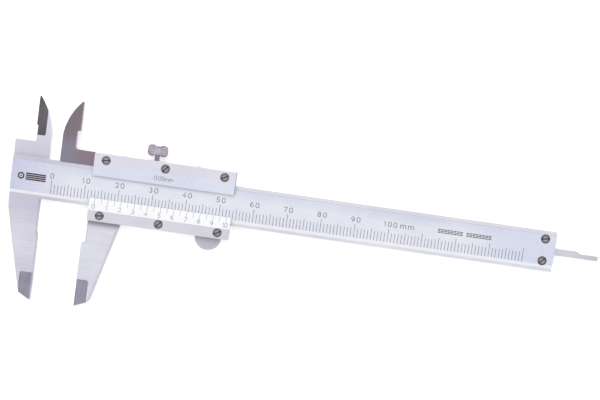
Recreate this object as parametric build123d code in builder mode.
"""Vernier caliper, 0 to 100 mm, lying on its back and opened a little.

Frame, in millimetres: +X runs along the beam from the fixed jaws to the tail, +Y towards the
inside jaws, +Z out of the face that carries the scales, and the caliper rests on Z = 0. The
pieces are drawn from the fixed outside measuring face (X) and the beam's centreline (Y), and
each is moved as it is saved so that the origin is under the middle of the whole caliper.
"""

from build123d import *
import os

# --- Driving dimensions ---------------------------------------------------------------------
OPENING = 13.35  # distance between the outside measuring faces at rest
RUN = 0.03  # running gap between the beam and the plates in front of and behind it
SLIP = 0.05  # running gap between the beam's edges and the rails
FIT = 0.02  # radial gap of a screw or rivet in its hole

HEAD_LEFT = -9.45
BEAM_END = 151.85
BEAM_HALF = 5.95
BEAM_THICKNESS = 3.0
PLATE = 1.0  # thickness of the back plate, the front plates and the end stop

# Levels, up from the plane the caliper rests on.
BACK_FACE = PLATE
BEAM_BACK = BACK_FACE + RUN
BEAM_FRONT = BEAM_BACK + BEAM_THICKNESS
RAIL_FRONT = BEAM_FRONT + RUN
PLATE_FRONT = RAIL_FRONT + PLATE
JAW_FRONT = BEAM_FRONT - 0.45  # the outside jaws and the beam's ledge sit below the scale face
HALF_LOW = 2.5  # front of the fixed inside jaw, which lies in the rear half
HALF_HIGH = 2.56  # back of the sliding inside jaw, which lies in the front half

# Beam section, across Y.
TOP_BEVEL_START = 4.75
TOP_BEVEL_DROP = 0.3
LOW_BEVEL_START = -4.1
LEDGE_START = -5.0

# Outside jaws.
JAW_TIP_Y = -36.45
JAW_HEEL_Y = -34.5  # where the slanted back of a jaw turns into its tip
JAW_SHOULDER_Y = -9.7
FIXED_HEEL_X = -3.6
FIXED_RELIEF = 0.5
SLIDING_RELIEF = 1.0
FIXED_RELIEF_START_Y = -15.6
SLIDING_RELIEF_START_Y = -16.95
RELIEF_END_Y = -17.2
SLIDING_HEEL = 4.4  # widths of the sliding jaw, back from its measuring face
SLIDING_ROOT = 10.75
SLIDING_CORNER = 0.9  # cut off the corner between the slanted back and the tip
SLIDING_CORNER_LOW_Y = JAW_HEEL_Y - 0.5
SLIDING_CORNER_HIGH_Y = JAW_HEEL_Y + 0.4
TIP_GROUND_Y = -28.1  # the tips are ground thinner from here down
TIP_GROUND_WIDTH = 3.55
TIP_GROUND_DEPTH = 0.35
GROUND_CORNER = 0.6

# Inside jaws.
INSIDE_FACE_X = -4.1  # fixed inside measuring edge
INSIDE_TIP_Y = 24.1
INSIDE_STEP_Y = 15.5
FIXED_NECK_LEFT = -3.7
FIXED_NECK_RIGHT = 0.7
FIXED_SHOULDER_Y = 10.65
FIXED_SHOULDER_LEFT = HEAD_LEFT - 0.3
FIXED_TIP_FLAT = 0.35
SLIDING_TIP_FLAT = 0.3
FIXED_ARC_LOW_Y = 13.3
FIXED_ARC_MIDDLE = (-0.55, 18.5)
SLIDING_ARC_LOW_Y = 14.2
SLIDING_ARC_MIDDLE = (1.15, 18.7)  # X is counted from the left edge of the sliding inside jaw
INSIDE_GROUND_X = -1.1  # right and lower bounds of the ground area of the fixed inside jaw
INSIDE_GROUND_Y = 12.6
SLIDING_BLADE = 4.9  # width of the sliding inside jaw, back from its measuring edge
SLIDING_NECK = 0.95
NECK_FILLET = 0.8

# Slider.
SLIDER_LENGTH = 41.95
SLIDER_LEFT = OPENING + 1.1
SLIDER_RIGHT = SLIDER_LEFT + SLIDER_LENGTH
SLIDER_MIDDLE = SLIDER_LEFT + SLIDER_LENGTH / 2
SLIDER_HALF = 10.05
RAIL_EDGE = BEAM_HALF + SLIP
JAW_ROOT_Y = -RAIL_EDGE - 1.0  # the sliding jaw and the thumb rest start inside the lower rail
CORNER = 0.35
TOP_PLATE_LOW_Y = 3.3
VERNIER_EDGE_Y = -3.4
VERNIER_BEND_Y = -6.9
VERNIER_LIP = 0.16

# Flat-headed screws that hold the plates, and the two at the end stop.
HEAD_RADIUS = 1.32
SHANK_RADIUS = 0.8
HEAD_RIM = 0.08
HEAD_DEPTH = HEAD_RIM + HEAD_RADIUS - SHANK_RADIUS
SLOT_WIDTH = 0.4
SLOT_DEPTH = 0.3
SLOT_ANGLES = [8.0, 48.0, 30.0]  # as the screws happen to have been driven home
UPPER_SCREW_Y = 8.1
LOWER_SCREW_Y = -8.3
PLATE_SCREW_PITCH = 17.47
PLATE_SCREW_XS = [SLIDER_LEFT + 3.56 + PLATE_SCREW_PITCH * step for step in range(3)]
PLATE_SCREW_LOW = 0.15  # levels at which the screws end
END_SCREW_LOW = 0.3
END_SCREW_X = 148.6
END_SCREW_YS = [3.55, -2.95]
END_STOP_WIDTH = 6.3

# Gib, its two set screws and the lock screw, all on one line above the beam.
GIB_LOW = BEAM_HALF + 0.12
GIB_THICKNESS = 0.5
GIB_HIGH = GIB_LOW + GIB_THICKNESS
GIB_SLOT_Y = 6.9
GIB_END = 1.2  # solid rail left at each end of the gib's slot
GIB_HEIGHT = 2.0
GIB_PLAY = 0.15
GIB_ROUND = 0.4
CROSS_Z = (BACK_FACE + RAIL_FRONT) / 2
SET_SCREW_RADIUS = 0.8
SET_SLOT_WIDTH = 0.3
SET_SLOT_DEPTH = 0.45
SET_SLOT_ANGLE = 20.0
SET_SCREW_TIP_Y = GIB_HIGH + 0.14
SET_SCREW_TOP_Y = 9.7
SET_SCREW_XS = [SLIDER_LEFT + 8.2, SLIDER_LEFT + 30.6]
LOCK_X = SLIDER_LEFT + 17.85
LOCK_RADIUS = 1.0
LOCK_NECK_RADIUS = 0.74
LOCK_TIP_Y = GIB_HIGH + 0.02
LOCK_SHANK_TOP_Y = 9.85
WING_LOW_Y = 11.3
WING_HIGH_Y = 14.65
WING_MIDDLE_Y = (WING_LOW_Y + WING_HIGH_Y) / 2
WING_SPAN = 5.85
WING_WIDTH = 2.5
WING_ROUND = 1.15
WING_THICKNESS = 1.7
WAIST_HEIGHT = 2.8
WAIST_DROP = 0.1

# Depth rod, riveted to the back plate and running in a groove in the back of the beam.
ROD_WIDTH = 2.1
ROD_LOW = BACK_FACE + 0.1
ROD_HIGH = 2.25
ROD_FOOT_LEFT = SLIDER_LEFT + 2.4
ROD_FOOT_RIGHT = SLIDER_RIGHT - 2.2
ROD_END = BEAM_END + OPENING
ROD_TIP_TOP = 0.38
ROD_STEP_X = ROD_END - 6.6
ROD_STEP_RUN = 1.5
GROOVE_WIDTH = 2.3
GROOVE_HIGH = 2.4
GROOVE_LEFT = 2.5
RIVET_RADIUS = 0.5
RIVET_HEAD = 0.9
RIVET_RIM = 0.05
RIVET_XS = [SLIDER_LEFT + 6.0, SLIDER_RIGHT - 6.0]

# Thumb rest, a half-moon under the slider.
THUMB_LEFT = SLIDER_LEFT + 31.9
THUMB_RIGHT = SLIDER_LEFT + 39.65
THUMB_LOW_Y = -14.1

JAW_EDGE = 0.6  # bevels along the backs of the outside jaws
EDGE = 0.25  # broken edges of the screws
FINE_EDGE = 0.12  # broken edges of the plates
SHARP = 1.0  # no edge is broken this close to a measuring face
PAST = 3.0  # how far a cutting or joining shape runs past the faces it has to clear

# Under the middle of the whole caliper, in the coordinates the pieces are drawn in.
ORIGIN_X = (FIXED_SHOULDER_LEFT + ROD_END) / 2
ORIGIN_Y = (JAW_TIP_Y + INSIDE_TIP_Y) / 2

# --- Helpers --------------------------------------------------------------------------------


def save(piece, name):
    """Move a finished piece to the shared origin, label it and write it to its own file."""
    placed = Pos(-ORIGIN_X, -ORIGIN_Y, 0) * piece.part
    placed.label = name
    export_step(placed, f"parts/{name}.step")


def across(x, y):
    """The level place on the line of the gib's screws, facing along their axes."""
    return Plane(origin=(x, y, CROSS_Z), z_dir=(0, 1, 0))


def flat_head_screw(x, y, top, length, slot_angle):
    """A slotted flat-headed screw, its head flush with the level top."""
    side = Plane(origin=(x, y, top), x_dir=(1, 0, 0), z_dir=(0, -1, 0))
    with BuildPart() as screw:
        with BuildSketch(side):
            with BuildLine():
                Polyline(
                    (0, 0),
                    (HEAD_RADIUS, 0),
                    (HEAD_RADIUS, -HEAD_RIM),
                    (SHANK_RADIUS, -HEAD_DEPTH),
                    (SHANK_RADIUS, -length),
                    (0, -length),
                    close=True,
                )
            make_face()
        revolve(axis=Axis((x, y, top), (0, 0, 1)))
        with BuildSketch(Plane(origin=(x, y, top))):
            Rectangle(3 * HEAD_RADIUS, SLOT_WIDTH, rotation=slot_angle)
        extrude(amount=-SLOT_DEPTH, mode=Mode.SUBTRACT)
    return screw


def screw_seats(spots, top):
    """Countersunk through holes for flat-headed screws, cut into the part being built."""
    with Locations(*[(x, y, top - HEAD_RIM) for x, y in spots]):
        CounterSinkHole(SHANK_RADIUS + FIT, HEAD_RADIUS + FIT, counter_sink_angle=90)
    with Locations(*[(x, y, top) for x, y in spots]):
        Hole(HEAD_RADIUS + FIT, depth=HEAD_RIM)


def screw_holes(spots, top):
    """Plain through holes for the screw shanks, cut into the part being built."""
    with Locations(*[(x, y, top) for x, y in spots]):
        Hole(SHANK_RADIUS + FIT)


def ground_pocket(left, right, low, high, face, depth):
    """Grind a round-cornered pocket into the part being built, down from the level face."""
    with BuildSketch(Plane.XY.offset(face)) as pocket:
        with Locations(((left + right) / 2, (low + high) / 2)):
            RectangleRounded(right - left, high - low, GROUND_CORNER)
    extrude(pocket.sketch, amount=-depth, mode=Mode.SUBTRACT)


def ground_outside_tip(left, right):
    """Thin the tip of the outside jaw being built, on its front and on its back."""
    for face, depth in ((JAW_FRONT, TIP_GROUND_DEPTH), (BEAM_BACK + TIP_GROUND_DEPTH, PAST)):
        ground_pocket(left, right, JAW_TIP_Y - PAST, TIP_GROUND_Y, face, depth)


def bevel_jaw_back(piece, left, right):
    """Bevel the front edges of an outside jaw that lie between two places along the beam."""
    front = piece.faces().filter_by_position(Axis.Z, JAW_FRONT - FIT, JAW_FRONT + FIT)
    rim = front.edges().filter_by_position(Axis.Y, JAW_TIP_Y, JAW_SHOULDER_Y - JAW_EDGE)
    chamfer(rim.filter_by_position(Axis.X, left, right), JAW_EDGE)


os.makedirs("parts", exist_ok=True)
UPPER_SPOTS = [(x, UPPER_SCREW_Y) for x in PLATE_SCREW_XS]
LOWER_SPOTS = [(x, LOWER_SCREW_Y) for x in PLATE_SCREW_XS]
END_SPOTS = [(END_SCREW_X, y) for y in END_SCREW_YS]

# --- Beam with both fixed jaws --------------------------------------------------------------
with BuildPart() as beam:
    with BuildSketch(Plane.YZ.offset(HEAD_LEFT)):
        with BuildLine():
            Polyline(
                (-BEAM_HALF, BEAM_BACK),
                (BEAM_HALF, BEAM_BACK),
                (BEAM_HALF, BEAM_FRONT - TOP_BEVEL_DROP),
                (TOP_BEVEL_START, BEAM_FRONT),
                (LOW_BEVEL_START, BEAM_FRONT),
                (LEDGE_START, JAW_FRONT),
                (-BEAM_HALF, JAW_FRONT),
                close=True,
            )
        make_face()
    extrude(amount=BEAM_END - HEAD_LEFT)
    # Fixed outside jaw, from the beam's lower edge to its tip.
    with BuildSketch(Plane.XY.offset(BEAM_BACK)):
        with BuildLine():
            Polyline(
                (HEAD_LEFT, LEDGE_START),
                (HEAD_LEFT, JAW_SHOULDER_Y),
                (FIXED_HEEL_X, JAW_HEEL_Y),
                (0, JAW_TIP_Y),
                (0, RELIEF_END_Y),
                (-FIXED_RELIEF, FIXED_RELIEF_START_Y),
                (-FIXED_RELIEF, LEDGE_START),
                close=True,
            )
        make_face()
    extrude(amount=JAW_FRONT - BEAM_BACK)
    # Fixed inside jaw and its shoulder, in the rear half of the thickness.
    with BuildSketch(Plane.XY.offset(BEAM_BACK)):
        with BuildLine():
            Polyline(
                (FIXED_NECK_RIGHT, FIXED_ARC_LOW_Y),
                (FIXED_NECK_RIGHT, TOP_BEVEL_START),
                (FIXED_SHOULDER_LEFT, TOP_BEVEL_START),
                (FIXED_SHOULDER_LEFT, FIXED_SHOULDER_Y),
                (FIXED_NECK_LEFT, FIXED_SHOULDER_Y),
                (FIXED_NECK_LEFT, INSIDE_STEP_Y),
                (INSIDE_FACE_X, INSIDE_STEP_Y),
                (INSIDE_FACE_X, INSIDE_TIP_Y),
                (INSIDE_FACE_X + FIXED_TIP_FLAT, INSIDE_TIP_Y),
            )
            ThreePointArc(
                (INSIDE_FACE_X + FIXED_TIP_FLAT, INSIDE_TIP_Y),
                FIXED_ARC_MIDDLE,
                (FIXED_NECK_RIGHT, FIXED_ARC_LOW_Y),
            )
        make_face()
    extrude(amount=HALF_LOW - BEAM_BACK)
    bevel_jaw_back(beam, HEAD_LEFT, -SHARP)
    ground_outside_tip(-TIP_GROUND_WIDTH, PAST)
    ground_pocket(
        INSIDE_FACE_X - PAST,
        INSIDE_GROUND_X,
        INSIDE_GROUND_Y,
        INSIDE_TIP_Y + PAST,
        HALF_LOW,
        TIP_GROUND_DEPTH,
    )
    # Groove for the depth rod along the back.
    with BuildSketch(Plane.XY.offset(BEAM_BACK)):
        with Locations(((GROOVE_LEFT + BEAM_END + PAST) / 2, 0)):
            Rectangle(BEAM_END + PAST - GROOVE_LEFT, GROOVE_WIDTH)
    extrude(amount=GROOVE_HIGH - BEAM_BACK, mode=Mode.SUBTRACT)
    screw_seats(END_SPOTS, BEAM_FRONT)
save(beam, "beam")

# --- End stop, on the back of the tail ------------------------------------------------------
with BuildPart() as end_stop_plate:
    with BuildSketch(Plane.XY.offset(BEAM_BACK)):
        with Locations((BEAM_END - END_STOP_WIDTH / 2, 0)):
            Rectangle(END_STOP_WIDTH, 2 * BEAM_HALF)
    extrude(amount=-PLATE)
    chamfer(end_stop_plate.faces().sort_by(Axis.Z)[0].edges(), FINE_EDGE)
    screw_holes(END_SPOTS, BEAM_BACK)
save(end_stop_plate, "end_stop_plate")

for place, (x, y), angle in zip(["upper", "lower"], END_SPOTS, SLOT_ANGLES):
    screw = flat_head_screw(x, y, BEAM_FRONT, BEAM_FRONT - END_SCREW_LOW, angle)
    save(screw, f"end_stop_screw_{place}")

# --- Slider back plate ----------------------------------------------------------------------
with BuildPart() as slider_back_plate:
    with BuildSketch():
        with Locations((SLIDER_MIDDLE, 0)):
            RectangleRounded(SLIDER_LENGTH, 2 * SLIDER_HALF, CORNER)
    extrude(amount=PLATE)
    chamfer(slider_back_plate.faces().sort_by(Axis.Z)[0].edges(), FINE_EDGE)
    screw_holes(UPPER_SPOTS + LOWER_SPOTS, PLATE)
    with Locations(*[Plane(origin=(x, 0, RIVET_RIM), z_dir=(0, 0, -1)) for x in RIVET_XS]):
        CounterSinkHole(RIVET_RADIUS + FIT, RIVET_HEAD + FIT, counter_sink_angle=90)
    with Locations(*[Plane(origin=(x, 0, 0), z_dir=(0, 0, -1)) for x in RIVET_XS]):
        Hole(RIVET_HEAD + FIT, depth=RIVET_RIM)
save(slider_back_plate, "slider_back_plate")

# --- Upper jaw: sliding inside jaw, its foot and the rail above the beam ---------------------
BLADE_RIGHT = INSIDE_FACE_X + OPENING
BLADE_LEFT = BLADE_RIGHT - SLIDING_BLADE
NECK_RIGHT = BLADE_RIGHT - SLIDING_NECK
with BuildPart() as upper_jaw:
    with BuildSketch(Plane.XY.offset(BACK_FACE)):
        with BuildLine():
            Polyline(
                (SLIDER_LEFT, RAIL_EDGE),
                (SLIDER_LEFT, SLIDER_HALF),
                (SLIDER_RIGHT, SLIDER_HALF),
                (SLIDER_RIGHT, RAIL_EDGE),
                (SLIDER_RIGHT - GIB_END, RAIL_EDGE),
                (SLIDER_RIGHT - GIB_END, GIB_SLOT_Y),
                (SLIDER_LEFT + GIB_END, GIB_SLOT_Y),
                (SLIDER_LEFT + GIB_END, RAIL_EDGE),
                close=True,
            )
        make_face()
    extrude(amount=RAIL_FRONT - BACK_FACE)
    # The foot and the blade keep to the front half, so they pass over the fixed inside jaw.
    with BuildSketch(Plane.XY.offset(HALF_HIGH)):
        with BuildLine():
            Polyline(
                (BLADE_LEFT, SLIDING_ARC_LOW_Y),
                (BLADE_LEFT, RAIL_EDGE),
                (SLIDER_LEFT + GIB_END, RAIL_EDGE),
                (SLIDER_LEFT + GIB_END, SLIDER_HALF),
                (NECK_RIGHT, SLIDER_HALF),
                (NECK_RIGHT, INSIDE_STEP_Y),
                (BLADE_RIGHT, INSIDE_STEP_Y),
                (BLADE_RIGHT, INSIDE_TIP_Y),
                (BLADE_RIGHT - SLIDING_TIP_FLAT, INSIDE_TIP_Y),
            )
            ThreePointArc(
                (BLADE_RIGHT - SLIDING_TIP_FLAT, INSIDE_TIP_Y),
                (BLADE_LEFT + SLIDING_ARC_MIDDLE[0], SLIDING_ARC_MIDDLE[1]),
                (BLADE_LEFT, SLIDING_ARC_LOW_Y),
            )
        make_face()
    extrude(amount=RAIL_FRONT - HALF_HIGH)
    neck_root = (
        upper_jaw.edges()
        .filter_by(Axis.Z)
        .filter_by_position(Axis.X, NECK_RIGHT - FIT, NECK_RIGHT + FIT)
        .filter_by_position(Axis.Y, SLIDER_HALF - FIT, SLIDER_HALF + FIT)
    )
    fillet(neck_root, NECK_FILLET)
    with Locations(*[across(x, SLIDER_HALF) for x in SET_SCREW_XS]):
        Hole(SET_SCREW_RADIUS + FIT, depth=SLIDER_HALF - GIB_SLOT_Y + SLIP)
    with Locations(across(LOCK_X, SLIDER_HALF)):
        Hole(LOCK_RADIUS + SLIP, depth=SLIDER_HALF - GIB_SLOT_Y + SLIP)
    screw_holes(UPPER_SPOTS, RAIL_FRONT)
save(upper_jaw, "upper_jaw")

# --- Lower jaw: sliding outside jaw, the rail under the beam and the thumb rest --------------
RELIEF_X = OPENING + SLIDING_RELIEF
with BuildPart() as lower_jaw:
    with BuildSketch(Plane.XY.offset(BACK_FACE)):
        with Locations(((RELIEF_X + SLIDER_RIGHT) / 2, -(RAIL_EDGE + SLIDER_HALF) / 2)):
            Rectangle(SLIDER_RIGHT - RELIEF_X, SLIDER_HALF - RAIL_EDGE)
    extrude(amount=RAIL_FRONT - BACK_FACE)
    with BuildSketch(Plane.XY.offset(BEAM_BACK)):
        with BuildLine():
            Polyline(
                (RELIEF_X, JAW_ROOT_Y),
                (RELIEF_X, SLIDING_RELIEF_START_Y),
                (OPENING, RELIEF_END_Y),
                (OPENING, JAW_TIP_Y),
                (OPENING + SLIDING_HEEL - SLIDING_CORNER, SLIDING_CORNER_LOW_Y),
                (OPENING + SLIDING_HEEL, SLIDING_CORNER_HIGH_Y),
                (OPENING + SLIDING_ROOT, -SLIDER_HALF),
                (OPENING + SLIDING_ROOT, JAW_ROOT_Y),
                close=True,
            )
        make_face()
        with BuildLine():
            ThreePointArc(
                (THUMB_LEFT, -SLIDER_HALF),
                ((THUMB_LEFT + THUMB_RIGHT) / 2, THUMB_LOW_Y),
                (THUMB_RIGHT, -SLIDER_HALF),
            )
            Polyline(
                (THUMB_RIGHT, -SLIDER_HALF),
                (THUMB_RIGHT, JAW_ROOT_Y),
                (THUMB_LEFT, JAW_ROOT_Y),
                (THUMB_LEFT, -SLIDER_HALF),
            )
        make_face()
    extrude(amount=JAW_FRONT - BEAM_BACK)
    bevel_jaw_back(lower_jaw, OPENING + SHARP, THUMB_RIGHT)
    ground_outside_tip(OPENING - PAST, OPENING + TIP_GROUND_WIDTH)
    screw_holes(LOWER_SPOTS, RAIL_FRONT)
save(lower_jaw, "lower_jaw")

# --- Front plates ---------------------------------------------------------------------------
with BuildPart() as front_top_plate:
    with BuildSketch(Plane.XY.offset(RAIL_FRONT)):
        with Locations((SLIDER_MIDDLE, (TOP_PLATE_LOW_Y + SLIDER_HALF) / 2)):
            RectangleRounded(SLIDER_LENGTH, SLIDER_HALF - TOP_PLATE_LOW_Y, CORNER)
    extrude(amount=PLATE)
    chamfer(front_top_plate.faces().sort_by(Axis.Z)[-1].edges(), FINE_EDGE)
    screw_seats(UPPER_SPOTS, PLATE_FRONT)
save(front_top_plate, "front_top_plate")

with BuildPart() as vernier_plate:
    with BuildSketch(Plane.YZ.offset(SLIDER_LEFT)):
        with BuildLine():
            Polyline(
                (VERNIER_EDGE_Y, RAIL_FRONT),
                (VERNIER_EDGE_Y, RAIL_FRONT + VERNIER_LIP),
                (VERNIER_BEND_Y, PLATE_FRONT),
                (-SLIDER_HALF, PLATE_FRONT),
                (-SLIDER_HALF, RAIL_FRONT),
                close=True,
            )
        make_face()
    extrude(amount=SLIDER_LENGTH)
    outer_corners = vernier_plate.edges().filter_by(Axis.Z).group_by(Axis.Y)[0]
    fillet(outer_corners, CORNER)
    screw_seats(LOWER_SPOTS, PLATE_FRONT)
save(vernier_plate, "vernier_plate")

# --- Screws of the plates -------------------------------------------------------------------
for row, spots in (("top", UPPER_SPOTS), ("vernier", LOWER_SPOTS)):
    for place, (x, y), angle in zip(["front", "middle", "rear"], spots, SLOT_ANGLES):
        screw = flat_head_screw(x, y, PLATE_FRONT, PLATE_FRONT - PLATE_SCREW_LOW, angle)
        save(screw, f"{row}_plate_screw_{place}")

# --- Gib and the screws that bear on it -----------------------------------------------------
with BuildPart() as gib_strip:
    with BuildSketch(Plane.XZ.offset(-GIB_LOW)):
        with Locations((SLIDER_MIDDLE, CROSS_Z)):
            Rectangle(SLIDER_LENGTH - 2 * (GIB_END + GIB_PLAY), GIB_HEIGHT)
    extrude(amount=-GIB_THICKNESS)
    fillet(gib_strip.edges().filter_by(Axis.Y), GIB_ROUND)
save(gib_strip, "gib_strip")

for name, x in zip(["gib_set_screw_front", "gib_set_screw_rear"], SET_SCREW_XS):
    with BuildPart() as set_screw:
        with BuildSketch(across(x, SET_SCREW_TOP_Y)):
            Circle(SET_SCREW_RADIUS)
        extrude(amount=SET_SCREW_TIP_Y - SET_SCREW_TOP_Y)
        chamfer(set_screw.faces().sort_by(Axis.Y)[0].edges(), EDGE)
        with BuildSketch(across(x, SET_SCREW_TOP_Y)):
            Rectangle(3 * SET_SCREW_RADIUS, SET_SLOT_WIDTH, rotation=SET_SLOT_ANGLE)
        extrude(amount=-SET_SLOT_DEPTH, mode=Mode.SUBTRACT)
    save(set_screw, name)

with BuildPart() as lock_screw:
    # Two rounded wings joined by a narrower waist.
    with BuildSketch(Plane(origin=(LOCK_X, WING_MIDDLE_Y, CROSS_Z - WING_THICKNESS / 2))):
        with GridLocations(WING_SPAN - WING_WIDTH, 1, 2, 1):
            RectangleRounded(WING_WIDTH, WING_HIGH_Y - WING_LOW_Y, WING_ROUND)
        with Locations((0, -WAIST_DROP)):
            Rectangle(WING_SPAN / 2, WAIST_HEIGHT)
    extrude(amount=WING_THICKNESS)
    wing_faces = lock_screw.faces().filter_by(Axis.Z).sort_by(Axis.Z)
    chamfer(wing_faces[-1].edges() + wing_faces[0].edges(), EDGE)
    with BuildSketch(Plane(origin=(LOCK_X, 0, CROSS_Z))):
        with BuildLine():
            Polyline(
                (0, LOCK_TIP_Y),
                (LOCK_RADIUS - EDGE, LOCK_TIP_Y),
                (LOCK_RADIUS, LOCK_TIP_Y + EDGE),
                (LOCK_RADIUS, LOCK_SHANK_TOP_Y),
                (LOCK_NECK_RADIUS, LOCK_SHANK_TOP_Y),
                (LOCK_NECK_RADIUS, WING_MIDDLE_Y),
                (0, WING_MIDDLE_Y),
                close=True,
            )
        make_face()
    revolve(axis=Axis((LOCK_X, 0, CROSS_Z), (0, 1, 0)))
save(lock_screw, "lock_screw")

# --- Depth rod and its rivets ---------------------------------------------------------------
with BuildPart() as depth_rod:
    with BuildSketch(Plane.XY.offset(ROD_LOW)):
        with BuildLine():
            Polyline(
                (ROD_FOOT_LEFT, -ROD_WIDTH / 2),
                (ROD_END, -ROD_WIDTH / 2),
                (ROD_END, ROD_TIP_TOP),
                (ROD_STEP_X + ROD_STEP_RUN, ROD_TIP_TOP),
                (ROD_STEP_X, ROD_WIDTH / 2),
                (ROD_FOOT_LEFT, ROD_WIDTH / 2),
                close=True,
            )
        make_face()
    extrude(amount=ROD_HIGH - ROD_LOW)
    with BuildSketch(Plane.XY.offset(BACK_FACE)):
        with Locations(((ROD_FOOT_LEFT + ROD_FOOT_RIGHT) / 2, 0)):
            Rectangle(ROD_FOOT_RIGHT - ROD_FOOT_LEFT, ROD_WIDTH)
    extrude(amount=ROD_LOW - BACK_FACE)
    with Locations(*[(x, 0, ROD_HIGH) for x in RIVET_XS]):
        Hole(RIVET_RADIUS + FIT)
save(depth_rod, "depth_rod")

for name, x in zip(["depth_rod_rivet_front", "depth_rod_rivet_rear"], RIVET_XS):
    with BuildPart() as rivet:
        with BuildSketch(Plane(origin=(x, 0, 0), x_dir=(1, 0, 0), z_dir=(0, -1, 0))):
            with BuildLine():
                Polyline(
                    (0, 0),
                    (RIVET_HEAD, 0),
                    (RIVET_HEAD, RIVET_RIM),
                    (RIVET_RADIUS, RIVET_RIM + RIVET_HEAD - RIVET_RADIUS),
                    (RIVET_RADIUS, ROD_HIGH),
                    (0, ROD_HIGH),
                    close=True,
                )
            make_face()
        revolve(axis=Axis((x, 0, 0), (0, 0, 1)))
    save(rivet, name)
